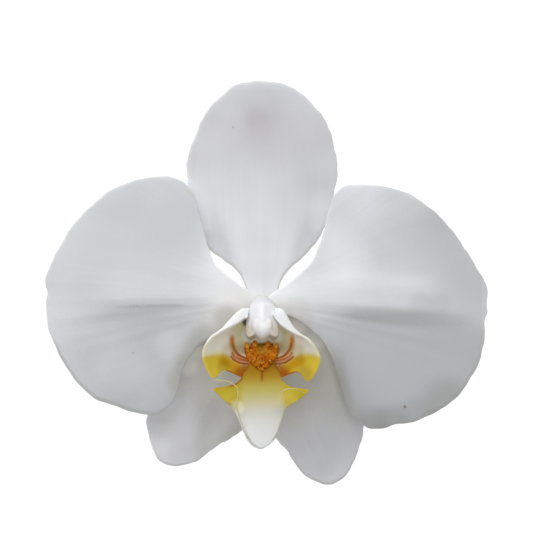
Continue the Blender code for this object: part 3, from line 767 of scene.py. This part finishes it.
sideLobes = {
    "rows": 90, "columns": 150,
    "thick": 0.75,
    "corner": (0.16, 0.08),           # how far the lower corner is rounded, as shares of rows and columns
    "left": (
        ((-1, -4.2, 2.4), (-2, -6.4, 2.8), (-2.6, -8.8, 3.9), (-2.8, -11.4, 5.6), (-3, -13.8, 7.2),
         (-3, -16, 8.5), (-2.8, -19, 9.4)),
        ((-3, -4.2, 3.2), (-4.6, -6.2, 3.8), (-5.2, -8.6, 4.4), (-5, -11.4, 5.6), (-4.9, -13.6, 7.3),
         (-4.4, -15.8, 8.7), (-4, -19.6, 9.6)),
        ((-4.2, -3.2, 5), (-6.2, -5.6, 6.6), (-7.4, -8.2, 7.6), (-7.5, -11.5, 8.2), (-6.9, -13.8, 8.6),
         (-5.8, -15.9, 9.1), (-5.3, -20, 10)),
        ((-3.2, -3.1, 7.5), (-5.6, -3.7, 9.3), (-9.3, -7.6, 10.6), (-11.8, -10.8, 11), (-11.8, -14, 10.2),
         (-10.8, -16.8, 10), (-9.7, -18.4, 10.2)),
        ((-3.6, -5, 10.5), (-6.3, -6.8, 11.8), (-9.6, -8.3, 12.6), (-13.2, -10.4, 12.6), (-14.9, -14, 12.4),
         (-14, -17.8, 12.1), (-11.8, -21.4, 11.5)),
    ),
    "right": (
        ((1, -4.2, 2.4), (2, -6.4, 2.8), (2.6, -8.8, 3.9), (2.8, -11.4, 5.6), (3, -13.8, 7.2),
         (3, -16, 8.5), (2.8, -19, 9.4)),
        ((3, -4.2, 3.2), (4.6, -6.2, 3.8), (5.2, -8.6, 4.4), (5, -11.4, 5.6), (4.9, -13.6, 7.3),
         (4.4, -15.8, 8.7), (3.8, -19.7, 9.6)),
        ((4.2, -3.2, 5), (6, -5.8, 6.6), (7, -8.4, 7.6), (7.4, -11.5, 8.2), (6.9, -13.9, 8.6),
         (5.8, -16, 9.1), (5, -20.1, 10)),
        ((2.9, -3.0, 7.5), (5.1, -3.6, 9.3), (7.7, -7.8, 10.6), (10.5, -11, 11), (11.6, -14.5, 10.2),
         (10.5, -17.4, 10), (9.2, -18.9, 10.2)),
        ((2.6, -4.2, 10.5), (5.1, -7.4, 11.8), (8.5, -9.3, 12.6), (12, -10.9, 12.6), (14.5, -15, 12.4),
         (13.6, -18.6, 12.1), (11.2, -22.1, 11.5)),
    ),
    # Lines in the face: red-brown stripes at the mouth of the cup with their half widths, then the middles
    # of the deep yellow, amber and tan parts
    "stripes": (
        (((-7.5, -10.6), (-7.3, -12), (-6.9, -13.2), (-6.2, -14.1), (-5.3, -14.8), (-4.3, -15.2),
          (-3.4, -15.5)), 0.2),
        (((-7.8, -14.9), (-7, -15.7), (-5.8, -16.4), (-4.6, -16.65), (-3.4, -16.7)), 0.2),
        (((-7.5, -13.8), (-6.8, -14.9), (-5.5, -15.6), (-3.6, -16)), 0.12),
    ),
    "deep": ((9.6, -15.9), (8, -16.8), (6, -18.2)),
    "amber": ((-7.4, -8.6), (-7.5, -11.2), (-7.1, -13), (-6.3, -14.4), (-5.1, -15.3), (-3.4, -16)),
    "tan": ((-7.5, -14.3), (-6.8, -15.3), (-5.5, -16), (-3.6, -16.3)),
}


def lobeFields(x, y, free, low):
    # Weights of a side lobe's colours, bells round lines and spots and fades by place. Free runs from 0 at
    # the root to 1 at the margin, low from the column to the lower edge. The cup is the cream inside, made
    # lighter as painted light; the pool is painted shade low in the cup, and the nook a painted shadow in
    # the gap beside the column.
    side = np.abs(x)
    start = -12.4 - 0.5 * np.clip(9.8 - side, 0, 3) - 0.2 * np.clip(side - 11.5, 0, 3)
    yellow = fade(y, start, 3.4) * grow(side, 4.4, 1.6)
    margin = grow(free, 0.9, 0.1) * fade(y, -10.2, 2.5)
    deep = bell(distanceTo(side, y, sideLobes["deep"]) / 1.6)
    ochre = spot(side, y, (4.2, -17.7), (2.2, 1.3))
    root = spot(side, y, (5.2, -19.1), (2.2, 1.4))
    rind = grow(low, 0.94, 0.06) * fade(side, 10, 2) * 0.8
    # Cream inside of the cup, made lighter as painted light
    cup = fade(free, 0.56, 0.1) * grow(y, -16, 2.6)
    # Painted shade low in the cup
    cupShade = cup * np.clip((-9.4 - y) / 4.2, 0, 1)
    mouth = spot(side, y, (7.8, -12), (0.8, 3.2)) * grow(free, 0.3, 0.15) * 0.5
    strip = grow(free, 0.55, 0.2) * grow(y, -10.5, 3)
    within = fade(free, 0.9, 0.2)
    amber = bell(distanceTo(-side, y, sideLobes["amber"]) / 0.75) * fade(y, -8.3, 2.4) * within
    tan = bell(distanceTo(-side, y, sideLobes["tan"]) / 0.5) * within
    stripes = np.zeros(len(x))
    for line, halfWidth in sideLobes["stripes"]:
        stripes = np.maximum(stripes, bell(distanceTo(-side, y, line) / (halfWidth * 1.4)))
    stripes = stripes * fade(y, -10.2, 2.6) * within
    # Painted shadow in the gap beside the column
    nookShadow = spot(x, y, (-4.3, -6.3), (0.68, 1.1))
    return {"yellow": np.maximum(yellow, 0.5 * margin), "deep": 0.85 * deep, "ochre": ochre,
            "orange": np.maximum(root, rind), "cup": cup, "cupShade": cupShade, "mouth": mouth, "strip": strip,
            "amber": 0.85 * amber, "tan": 0.8 * tan, "stripes": stripes, "nookShadow": nookShadow}


lobeLook = {
    "tone": (232, 230, 219), "mottle": (226, 223, 211), "mottleScale": 200.0,
    "edgeScale": 800.0,
    # Cup: cream made lighter as painted light; pool: painted shade; nook: painted shadow by the column
    "washes": (
        ("strip", (234, 235, 237), 0.1), ("cup", (240, 236, 202), 0.2), ("cupShade", (178, 170, 145), 0.1),
        ("mouth", (206, 166, 104), 0.2), ("yellow", (206, 183, 64), 0.15), ("deep", (182, 142, 4), 0.1),
        ("ochre", (160, 112, 32), 0.1), ("orange", (158, 92, 10), 0.15), ("amber", (198, 130, 60), 0.15),
        ("tan", (178, 128, 84), 0.15), ("stripes", (140, 66, 28), 0.1), ("nookShadow", (124, 112, 102), 0.1),
    ),
    # Marks: the white ones are painted light in the shaded gaps beside the column
    "marks": (
        ((-8, -13.3), 2.4, (150, 130, 60), 0.36), ((8.6, -13.3), 2.4, (150, 130, 60), 0.42),
        ((-9.6, -17.5), 2.0, (90, 76, 0), 0.26), ((10.5, -19.2), 2.6, (90, 76, 0), 0.34),
        ((3.7, -6.8), 1.6, (255, 255, 252), 0.9), ((3.9, -9.6), 1.6, (255, 255, 252), 0.7),
        ((-3.9, -9.6), 1.6, (255, 255, 252), 0.7),
    ),
    **lipSkin,
    "subsurface": 0.8,
    "reach": 2.5,
}

lobeTissue = tissue("lobeTissue", lobeLook)
rowPlaces, columnPlaces = ((1 - np.cos(np.linspace(0, np.pi, sideLobes[part]))) / 2
                           for part in ("rows", "columns"))
for side in ("left", "right"):
    net = np.array(sideLobes[side])
    wide = through(net.transpose(1, 0, 2), columnPlaces * (net.shape[1] - 1)).transpose(1, 0, 2)
    grid = through(wide, rowPlaces * (net.shape[0] - 1))
    # Rounded lower corner: the columns of the outer rows end sooner, by a quarter of an ellipse
    across, down = sideLobes["corner"]
    bend = np.clip((rowPlaces - 1 + across) / across, 0, 1)
    ends = 1 - down * (1 - np.sqrt(1 - bend**2))
    at = np.arccos(1 - 2 * ends[:, None] * columnPlaces) / np.pi * (len(columnPlaces) - 1)
    first = np.clip(at.astype(int), 0, len(columnPlaces) - 2)
    row = np.arange(len(rowPlaces))[:, None]
    share = (at - first)[..., None]
    grid = grid[row, first] * (1 - share) + grid[row, first + 1] * share
    inset = np.minimum(np.minimum(rowPlaces, 1 - rowPlaces)[:, None] * 14,
                       np.minimum(columnPlaces, 1 - columnPlaces)[None] * 22)
    half = sideLobes["thick"] / 2 * np.sqrt(1 - (1 - np.clip(inset / 0.5, 0, 1)) ** 2)
    points, quads, tris, inside = closedSheet(grid, half)
    free, low = (np.concatenate((places.ravel(), places[inside]))
                 for places in np.meshgrid(rowPlaces, columnPlaces, indexing="ij"))
    addPiece("sideLobe" + side.title(), points, quads, tris, lobeTissue, "lip", "lip",
             lobeFields(points[:, 0], points[:, 1], free, low))
print("lip blade and side lobes made")


# Callus: a warty mound with a crown of four teeth

callus = {
    "centre": (0, -16.2),
    "spokes": 300, "rings": 70,
    "outline": (
        (-4.5, -12.8), (-4.3, -11.6), (-3.8, -11.3), (-3.3, -11.6), (-2.9, -12.2), (-2.5, -11.5),
        (-2.0, -10.8), (-1.4, -11), (-0.9, -11.9), (0, -12.2), (0.75, -11.7), (1.2, -10.95),
        (1.85, -11.05), (2.35, -11.7), (2.75, -12.2), (3.1, -11.8), (3.6, -11.5), (4.15, -11.7),
        (4.3, -12.8), (4.1, -14.4), (3.3, -15.9), (2.5, -16.8), (1.7, -17.5), (0.8, -18.5), (0, -18.9),
        (-1, -18.3), (-1.8, -17.5), (-2.8, -16.6), (-3.6, -15.7), (-4.2, -14.3),
    ),
    "teeth": ((-3.8, -12), (-1.8, -11.5), (1.5, -11.5), (3.6, -12)),
    "warts": 60, "seed": 5,
}
rim = evenLoop(callus["outline"], callus["spokes"])[::-1]
share, flat = polarGrid(rim, callus["centre"], callus["rings"])
x, y = flat[..., 0], flat[..., 1]
floorOfLip = lipDepth(x, y)
bulge = 1.5 * np.sqrt(np.clip(1 - share**3, 0, 1)) * (0.35 + 0.65 * grow(y, -19, 4))
draw = np.random.default_rng(callus["seed"])
warts = np.zeros(x.shape)
for _ in range(callus["warts"]):
    at = draw.uniform((-3.8, -18.2), (3.8, -11.6))
    warts = np.maximum(warts, draw.uniform(0.25, 0.6) * spot(x, y, at, (0.42, 0.42)))
teeth = sum(1.7 * spot(x, y, at, (0.62, 1.0)) for at in callus["teeth"])
top = floorOfLip + 0.25 + bulge + (warts + teeth) * np.sqrt(np.clip(1 - share**8, 0, 1))
under = np.minimum(floorOfLip - 0.15 + 0 * x, top - 0.01)
top[-1] = under[-1]
points, quads, tris, _ = polarSkins(flat, top, under)
callusLook = {
    "tone": (204, 124, 8), "mottle": (180, 94, 6), "mottleScale": 700.0,
    "washes": (("gold", (206, 152, 50), 0.4), ("foot", (176, 128, 30), 0.4)),
    "flecks": (
        ("grains", (214, 158, 48), 0.56, 0.66, 1150.0), ("grains", (128, 54, 12), 0.55, 0.63, 1500.0),
    ),
    "marks": (
        ((-1.1, -17.9), 0.45, (140, 64, 14), 0.8), ((0.7, -17.7), 0.45, (140, 64, 14), 0.8),
        ((-0.5, -17.1), 0.35, (140, 64, 14), 0.6), ((0.3, -14.4), 0.45, (150, 84, 18), 0.6),
        ((0, -15.8), 0.4, (146, 74, 16), 0.6), ((-0.5, -14.6), 2.4, (150, 80, 16), 0.3),
        # Light marks on the teeth: painted light under the anther cap's shade
        *((at, 0.9, (240, 170, 66), 0.7) for at in callus["teeth"]),
    ),
    "cellDepth": 0.1,
    "cellScale": 1600.0,
    "roughness": 0.55,
    "specular": 0.08,
}
x, y = points[:, 0], points[:, 1]
gold = spot(x, y, (0, -12.8), (1.3, 1.8))
foot = fade(y, -16.8, 1.8)
addPiece("callus", points, quads, tris, tissue("callusTissue", callusLook), "lip", "lip",
         {"gold": gold, "foot": foot, "grains": 1 - 0.5 * gold})

# Tendrils: threads from inside the tip of the mid lobe, up in front of its margins
tendrils = {
    "radius": (0.22, 0.13),
    "paleFrom": {"left": -26, "right": -24},
    "sides": 12,
    "left": (
        (-0.8, -37.2, 22.7), (-3, -35.7, 22.3), (-4.8, -32.5, 20.8), (-5.9, -29, 19.4),
        (-6.4, -27, 18.8), (-6.0, -24.6, 18.6), (-6.3, -22.6, 18.4), (-8.6, -21.1, 17.6),
        (-12.6, -20.7, 16.4),
    ),
    "right": (
        (0.8, -37.0, 22.7), (2.9, -35.4, 22.3), (4.4, -32, 20.8), (5.2, -28.4, 19.3),
        (4.7, -25.4, 18.2), (5.6, -23.4, 18.3), (7.9, -22.9, 17.8), (10.6, -24, 17),
    ),
}
tendrilTissue = tissue("tendrilTissue", {
    "tone": (214, 204, 148, 0.9), "mottle": (206, 193, 128, 0.9), "mottleScale": 260.0,
    "washes": (("pale", (207, 202, 176, 0.8), 0.3),),
})
for side in ("left", "right"):
    places = np.linspace(0, len(tendrils[side]) - 1, 90)
    line = through(tendrils[side], places)
    run = places / places[-1]
    thick, thin = tendrils["radius"]
    width = (thick + (thin - thick) * run) * (0.4 + 0.6 * smooth(places / 3))
    width = (width * np.sqrt(np.clip(1 - run**40, 0.02, 1)))[:, None]
    rings, _ = tubeRings(line, width, width, tendrils["sides"])
    points, quads, tris = closedTube(rings)
    addPiece("tendril" + side.title(), points, quads, tris, tendrilTissue, "lip", "lip",
             {"pale": fade(points[:, 1], tendrils["paleFrom"][side], 3)})
print("callus and tendrils made")


# Column, with its wings and the stigma's hollow underneath

column = {
    "line": ((0, -1.4, -1.0), (0, -1.8, 2.2), (0.05, -2.2, 5.2), (0.1, -3.4, 8), (0.1, -5.2, 9.9),
             (0.1, -7.1, 10.9)),
    "across": (2.2, 2.5, 2.85, 3.0, 2.9, 2.75),
    "deep": (1.9, 2.0, 2.25, 2.35, 2.28, 2.17),
    "wing": 1.3,
    "drop": 1.0,                     # how far the wings lie under the middle
    "run": 5.1,                      # and reach past the end
    "stigma": 1.2,                   # depth of the hollow
    "sides": 72, "rings": 90,
}
places = np.linspace(0, len(column["line"]) - 1, column["rings"])
line = through(column["line"], places)
across = through(np.array(column["across"])[:, None], places)
deep = through(np.array(column["deep"])[:, None], places)
rings, turn = tubeRings(line, across, deep, column["sides"])
back = np.cross(unit(np.gradient(line, axis=0)), (1.0, 0, 0))
end = grow(places, 1.8, 2.2)[:, None]
side = np.cos(turn)
rings[..., 0] += column["wing"] * end * side * np.abs(side) ** 5
rings -= (column["drop"] * end * np.abs(side) ** 5)[..., None] * back[:, None]
run = column["run"] * end**3 * side**2 * (1 - 0.6 * side**8)
rings += run[..., None] * np.array((0, -0.985, 0.17))
hollow = column["stigma"] * grow(places, 2.6, 0.8)[:, None] * fade(places, 4.9, 0.3)[:, None]
rings += (hollow * np.clip(-np.sin(turn), 0, 1) ** 3)[..., None] * back[:, None]
rings[0, :, 2] = column["line"][0][2]
points, quads, tris = closedTube(rings)
columnSkin = {"roughness": 0.42, "specular": 0.25, "subsurface": 0.15}
columnLook = {
    "tone": (240, 240, 242), "mottle": (237, 237, 238), "mottleScale": 220.0,
    # Washes: painted shade left, painted light right, painted shade at the top and low down, and the wings'
    # cream
    "washes": (
        ("left", (228, 228, 230), 0.1), ("right", (252, 252, 253), 0.1), ("crownShade", (215, 216, 218), 0.1),
        ("green", (208, 211, 202), 0.1), ("wings", (222, 212, 195), 0.15),
    ),
    # Marks: painted shade on the left wing and painted light on the right one
    "marks": (
        ((-3, -8.4), 1.6, (160, 150, 130), 0.28), ((3.5, -8.4), 1.4, (242, 238, 230), 0.4),
    ),
    **columnSkin,
}


def sideShading(x):
    # Painted shade on the left side and painted light on the right, each fading out past the middle
    return {"left": fade(x, 0.3, 1.6), "right": grow(x, 0.3, 1.6)}


x, y, z = points.T
# Painted shade on the left side and painted light on the right; painted shade at the top (crown); green is
# a greenish tint low down that also carries painted shade; wings is their cream colour
fields = {
    **sideShading(x),
    "crownShade": 0.35 * grow(y, -6.5, 4) + 0.65 * grow(y, -1.9, 1.4),
    "green": fade(z, 7, 4.5),
    "wings": grow(np.abs(x), 1.5, 1.6) * fade(y, -5.6, 3.4),
}
addPiece("column", points, quads, tris, tissue("columnTissue", columnLook), "column", "column", fields)

# Anther cap: a hollow hood with a short beak, over the two pollen masses
cap = {
    "end": (0, -7.1, 10.9),
    "ahead": (0, -0.885, 0.466),
    "gap": 0.1,
    "skirt": 1.4,                    # how far its rear runs back under the column's skin
    "across": 2.72, "deep": 2.16,
    "reach": 3.35,
    "wall": 0.7,
    "sides": 80, "rises": 44,
}
turn = turns(cap["sides"])
rise = np.linspace(0, np.pi / 2, cap["rises"])[:-1]
ahead = unit(np.array(cap["ahead"]))
back = np.cross(ahead, (1.0, 0, 0))


def hood(wall):
    # Skirt rings that narrow backwards, then across cos(rise)^1.15 cos(turn) by deep cos(rise)^0.8
    # sin(turn) at reach sin(rise), each less the wall, with a shallow furrow down the back
    behind = np.linspace(1, 0, 8)[:-1]
    widths = np.concatenate((1 - 0.1 * behind**2, np.cos(rise) ** 1.15))[:, None]
    heights = np.concatenate((1 - 0.12 * behind**2, np.cos(rise) ** 0.8))[:, None]
    reach = np.concatenate((-cap["skirt"] * behind, (cap["reach"] - wall) * np.sin(rise)))[:, None]
    droop = np.concatenate((0 * behind, -0.4 * np.sin(rise) ** 3))[:, None]
    furrow = 1 - 0.03 * bell((turn - np.pi / 2) / 0.3)
    x = (cap["across"] - wall) * widths * np.cos(turn)
    depth = (cap["deep"] - wall) * heights * np.sin(turn) * furrow + droop
    return (np.array(cap["end"]) + x[..., None] * np.array((1.0, 0, 0)) + depth[..., None] * back
            + (cap["gap"] + reach + 0 * x)[..., None] * ahead)


rings = np.concatenate((hood(0)[::-1], hood(cap["wall"])))
capLook = {
    "tone": (245, 245, 245), "mottle": (241, 241, 240), "mottleScale": 300.0,
    # Painted shade on the left side and painted light on the right; blush is a tint of the sides
    "washes": (("left", (226, 226, 227), 0.1), ("right", (252, 252, 252), 0.1),
               ("blush", (226, 216, 202), 0.3)),
    "cellDepth": 0.02,
    **columnSkin,
}
points, quads, tris = closedTube(rings)
x = points[:, 0]
fields = {**sideShading(x), "blush": 0.6 * grow(np.abs(x), 1.6, 1.1)}
addPiece("antherCap", points, quads, tris, tissue("capTissue", capLook), "anther_cap", "anther_cap", fields)

# Pollinarium: two waxy masses on one strap, a turned outline round the X axis
pollen = {"radius": 0.6, "offset": 0.7, "strap": 0.22, "inside": 0.97, "sides": 24}
middle = np.array(cap["end"]) + ahead * pollen["inside"]
x = -np.cos(np.linspace(0, np.pi, 60)) * (pollen["offset"] + pollen["radius"])
body = np.sqrt(np.clip(pollen["radius"] ** 2 - (np.abs(x) - pollen["offset"]) ** 2, 0, None))
body = np.maximum(body, pollen["strap"] * (np.abs(x) < pollen["offset"]))
turn = turns(pollen["sides"])
rings = np.dstack((x[1:-1, None] + 0 * turn, middle[1] + body[1:-1, None] * np.cos(turn),
                   middle[2] + body[1:-1, None] * np.sin(turn)))
pollenWax = tissue("pollenWax", {
    "tone": (222, 176, 52), "mottle": (206, 152, 34), "mottleScale": 900.0, "roughness": 0.45,
})
addPiece("pollinarium", *closedTube(rings), pollenWax, "pollen", "pollinarium", {})
print("column, anther cap and pollen made")


# Ovary and stalk

stalk = {
    "top": -1.5,
    "radius": 1.6,
    # Radii of the ovary at lengths from the top, and that of the cut end
    "ovary": ((0, 1.5), (1.5, 2.1), (5, 2.0), (9, 1.8), (14, 1.6)),
    "cut": 1.76,
    "bend": 7.0,
    "end": (2.6, 36.0),
    "sides": 60,
}
rest = flower["floor"] + 0.96 * stalk["radius"]
start = rest + stalk["bend"]
swing = np.radians(np.linspace(15, 90, 24))
line = [(0, 0, z) for z in np.linspace(stalk["top"], start, 14)]
line += [(0, stalk["bend"] * (1 - np.cos(a)), start - stalk["bend"] * np.sin(a)) for a in swing]
line += [(stalk["end"][0] * s**2, stalk["bend"] + (stalk["end"][1] - stalk["bend"]) * s, rest)
         for s in np.linspace(0, 1, 70)[1:]]
line = np.array(line)
run = lengthsAlong(line)
lengths, radii = zip(*stalk["ovary"], (run[-1] - 1.5, stalk["radius"]), (run[-1], stalk["cut"]))
radii = np.interp(run, lengths, radii)[:, None]
rings, turn = tubeRings(line, radii, radii, stalk["sides"])
groove = 0.07 * fade(run, 15, 8)[:, None] * (0.5 + 0.5 * np.cos(6 * turn))
swell = 1 - groove + 0.012 * np.sin(3 * turn + 0.3 * run[:, None])
rings = line[:, None] + (rings - line[:, None]) * swell[..., None]
rings[0, :, 2] = stalk["top"]
rings[..., 2] = np.maximum(rings[..., 2], flower["floor"])
inner = rings[-1].mean(0) + (rings[-1] - rings[-1].mean(0)) * 0.72     # where the skin ends on the cut face
rings = np.concatenate((rings, inner[None]))
points, quads, tris = closedTube(rings)
stalkLook = {
    "tone": (150, 170, 96), "mottle": (132, 152, 84), "mottleScale": 260.0,
    "streaks": {"spread": (16.0, 0.6, 1.0), "strength": 0.4, "tone": (118, 132, 78), "depth": 0.2},
    "washes": (("white", (232, 236, 218), 0.4), ("cut", (206, 214, 168), 0.2)),
    "flecks": (("skin", (122, 104, 72), 0.66, 0.74, 1300.0),),
    "cellDepth": 0.06,
    "roughness": 0.42,
    "subsurface": 0.08,
}
along = np.concatenate((np.repeat(run, stalk["sides"]), np.full(stalk["sides"] + 2, run[-1])))
along[-2] = 0
about = np.concatenate((np.tile(turn, len(run) + 1), (0, 0)))
cut = np.zeros(len(points))
cut[-(stalk["sides"] + 2):] = 1
cut[-2] = 0
fields = {
    "flow": np.column_stack((np.cos(about), along / 10, np.sin(about))),
    "white": fade(along, 7, 7),
    "cut": cut,
    "skin": 1 - cut,
}
addPiece("pedicel", points, quads, tris, tissue("stalkSkin", stalkLook), "stalk", "pedicel", fields)
print("ovary and stalk made")


# Surface, light and camera

studio = {
    "floorSize": 3.0,
    "floorTones": ((84, 84, 84), (88, 88, 88)),
    "floorGlow": 0.96,
    "key": {"from": (-0.323, 0.774, 0.545), "distance": 1.2, "size": 1.7, "power": 18.8},
    "fill": {"from": (0.25, -0.2, 1.0), "distance": 1.1, "size": 1.2, "power": 3.0},
    "world": 0.24,
}


def studioMaterial():
    # Matt grey with a faint cloudiness, and a strong light of its own that makes it white in the picture
    material, tree, shader, where = newMaterial("paleFloor")
    setInputs(tree, shader, {
        "Base Color": mixTones(tree, noise(tree, where, 3.0), *studio["floorTones"]),
        "Roughness": 0.9, "Specular IOR Level": 0.1,
        "Emission Color": (1, 1, 1, 1), "Emission Strength": studio["floorGlow"],
    })
    return material


half = studio["floorSize"] / 2
floorMesh = bpy.data.meshes.new("floor")
corners = [(x * half, y * half, 0) for x, y in ((-1, -1), (1, -1), (1, 1), (-1, 1))]
floorMesh.from_pydata(corners, [], [(0, 1, 2, 3)])
floorMesh.materials.append(studioMaterial())
floor = addObject("floor", floorMesh)


def addLight(name, lamp):
    # Square area light at its distance in the direction that it comes from, turned to the flower
    light = bpy.data.lights.new(name, "AREA")
    light.shape = "SQUARE"
    light.size = lamp["size"]
    light.energy = lamp["power"]
    holder = addObject(name, light)
    holder.location = (unit(np.array(lamp["from"])) * lamp["distance"]).tolist()
    holder.rotation_mode = "QUATERNION"
    holder.rotation_quaternion = holder.location.to_track_quat("Z", "Y")


addLight("key", studio["key"])
addLight("fill", studio["fill"])
world = bpy.data.worlds.new("studio")
world.use_nodes = True
setInputs(world.node_tree, world.node_tree.nodes["Background"],
          {"Color": (1, 1, 1, 1), "Strength": studio["world"]})
bpy.context.scene.world = world
bpy.context.scene.view_settings.view_transform = "Standard"

sensorWidth = 36.0
lens = bpy.data.cameras.new("camera")
lens.sensor_width = sensorWidth
lens.lens = sensorWidth * flower["cameraHeight"] / flower["frameWidth"]
lens.clip_start, lens.clip_end = 0.1, 20.0
camera = addObject("camera", lens)
camera.location = place([(*flower["middle"], 0)])[0] + np.array((0, 0, flower["cameraHeight"] * 0.001))
bpy.context.scene.camera = camera
print("surface, lights and camera made")
